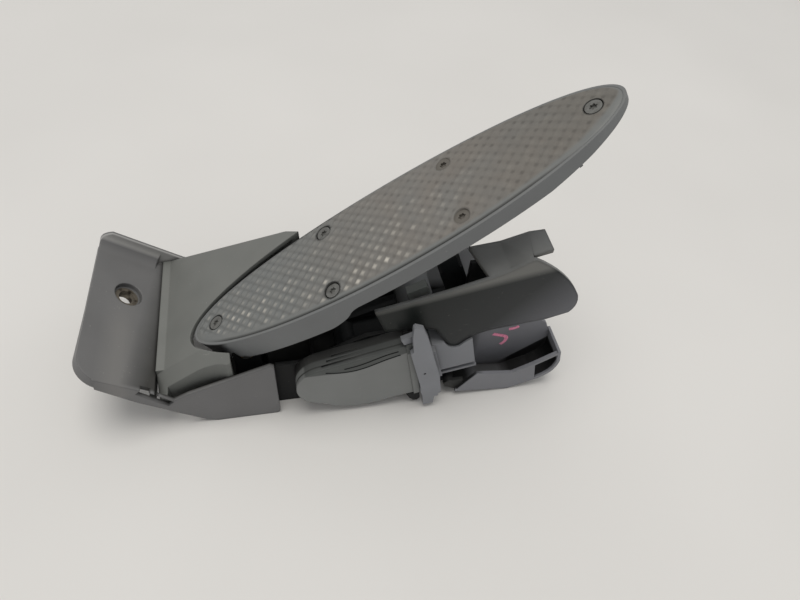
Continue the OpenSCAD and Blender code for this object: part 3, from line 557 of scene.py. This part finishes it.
def build_ribbons(name, strokes, y_mm, width_mm, finish):
    """Flat ribbons along each stroke, just proud of the wall that they lie on."""
    mesh = bmesh.new()
    for stroke in strokes:
        points = rounded([Vector((x * MM, y_mm * MM, z * MM)) for x, z in stroke])
        pairs = []
        for k, point in enumerate(points):
            run = (points[min(k + 1, len(points) - 1)] - points[max(k - 1, 0)]).normalized()
            side = Vector((-run.z, 0, run.x)) * width_mm * MM / 2
            pairs.append((mesh.verts.new(point + side), mesh.verts.new(point - side)))
        for (a, b), (c, d) in zip(pairs, pairs[1:]):
            mesh.faces.new([a, b, d, c])
    data = bpy.data.meshes.new(name)
    mesh.to_mesh(data)
    mesh.free()
    data.materials.append(finish)
    obj = bpy.data.objects.new(name, data)
    bpy.context.collection.objects.link(obj)
    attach(obj, "base")


dress_nodes()
build_tread()
build_ribbons("pencil_mark", PENCIL_STROKES, BRACKET_WALL_Y, PENCIL_WIDTH, wax_pencil("pink wax pencil"))
build_ribbons("lid_groove_shade", LID_GROOVES, LID_Y, GROOVE_WIDTH, shaded_groove("shaded groove"))


# Floor, light and camera

def painted_floor():
    """Pale painted board: matt off-white, warm grey, faintly mottled."""
    made, tree, place, shader = new_material("pale painted board", Roughness=0.8)
    mottle = patches(tree, place, 200, 0.3, 0.7)
    tree.links.new(lay_over(tree, linear("#dcdad7"), linear("#e0dedb"), mottle), shader.inputs["Base Color"])
    return made


FLOOR_SIZE = 6
# The floor lies this far under the part, so that the two faces don't flicker
FLOOR_DROP = 0.1 * MM


def build_stage():
    """A wide plain floor."""
    bpy.ops.mesh.primitive_plane_add(size=FLOOR_SIZE, location=(0, 0, -FLOOR_DROP))
    floor = bpy.context.object
    floor.name = "floor"
    floor.data.materials.append(painted_floor())


def area_lamp(name, place, aim, size, watts, colour):
    """Adds a round area lamp that points from its place to its aim."""
    data = bpy.data.lights.new(name, "AREA")
    data.shape = "DISK"
    data.size = size
    data.energy = watts
    data.color = linear(colour)[:3]
    obj = bpy.data.objects.new(name, data)
    obj.location = place
    obj.rotation_euler = (Vector(aim) - Vector(place)).to_track_quat("-Z", "Y").to_euler()
    bpy.context.collection.objects.link(obj)


ROOM_STRENGTH = 0.56
PANEL_PLACE = (0.0, -0.1, 2.2)
PANEL_AIM = (0.08, 0.05, 0.0)
PANEL_SIZE = 1.3
PANEL_WATTS = 23


def build_light():
    """A bright room: light from all round, and as much again from a wide ceiling panel behind the viewer."""
    world = bpy.data.worlds.new("pale room")
    bpy.context.scene.world = world
    world.use_nodes = True
    background = world.node_tree.nodes["Background"]
    background.inputs["Color"].default_value = linear("#f6f6f6")
    background.inputs["Strength"].default_value = ROOM_STRENGTH
    area_lamp("ceiling panel", PANEL_PLACE, PANEL_AIM, PANEL_SIZE, PANEL_WATTS, "#fffdf8")


# The photograph is from in front and above, on the plug's side
CAMERA_PLACE = Vector((27.71, -221.65, 334.66)) * MM
CAMERA_AIM = Vector((93.64, 18.82, 40.0)) * MM
CAMERA_ROLL = math.radians(6.04)
FOCAL_PIXELS = 620.72
PHOTO_WIDTH = 800


def build_camera():
    """Camera at the photograph's view."""
    data = bpy.data.cameras.new("camera")
    data.sensor_width = 36
    data.lens = FOCAL_PIXELS / PHOTO_WIDTH * data.sensor_width
    data.clip_start = 0.01
    obj = bpy.data.objects.new("camera", data)
    look = (CAMERA_AIM - CAMERA_PLACE).to_track_quat("-Z", "Y").to_matrix()
    turned = look @ Matrix.Rotation(CAMERA_ROLL, 3, "Z")
    obj.matrix_world = Matrix.Translation(CAMERA_PLACE) @ turned.to_4x4()
    bpy.context.collection.objects.link(obj)
    bpy.context.scene.camera = obj


build_stage()
build_light()
build_camera()
bpy.context.scene.view_settings.view_transform = "Standard"
